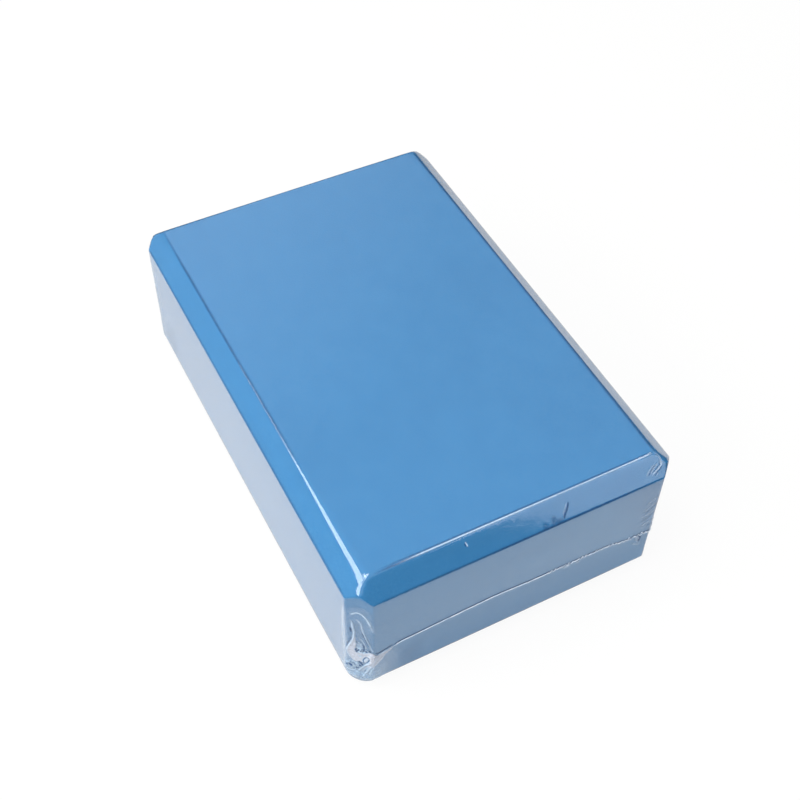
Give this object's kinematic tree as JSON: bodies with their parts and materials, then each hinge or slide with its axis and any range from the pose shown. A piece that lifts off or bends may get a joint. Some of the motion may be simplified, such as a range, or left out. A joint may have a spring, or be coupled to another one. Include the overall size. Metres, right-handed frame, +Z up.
{
  "type": "foam yoga block",
  "caption": "Rectangular closed-cell foam block with a bevel on every edge, in a shrunk wrap of clear film; a firm light support to stand, sit or lean on.",
  "frame": {"origin": "middle of the underside, on the outer face of the film", "axes": "+X along the length, +Y across the width and away from the film's folded side, +Z up through the thickness"},
  "size_m": [0.2314, 0.1508, 0.0751],
  "materials": {
    "blue_foam": "closed-cell foam, cut faces, matte with a very fine cell grain",
    "clear_film": "thin clear shrink film, glossy, lightly drawn and pleated"
  },
  "bodies": {
    "root": {"foam_block": "blue_foam", "shrink_film": "clear_film"}
  },
  "joints": []
}
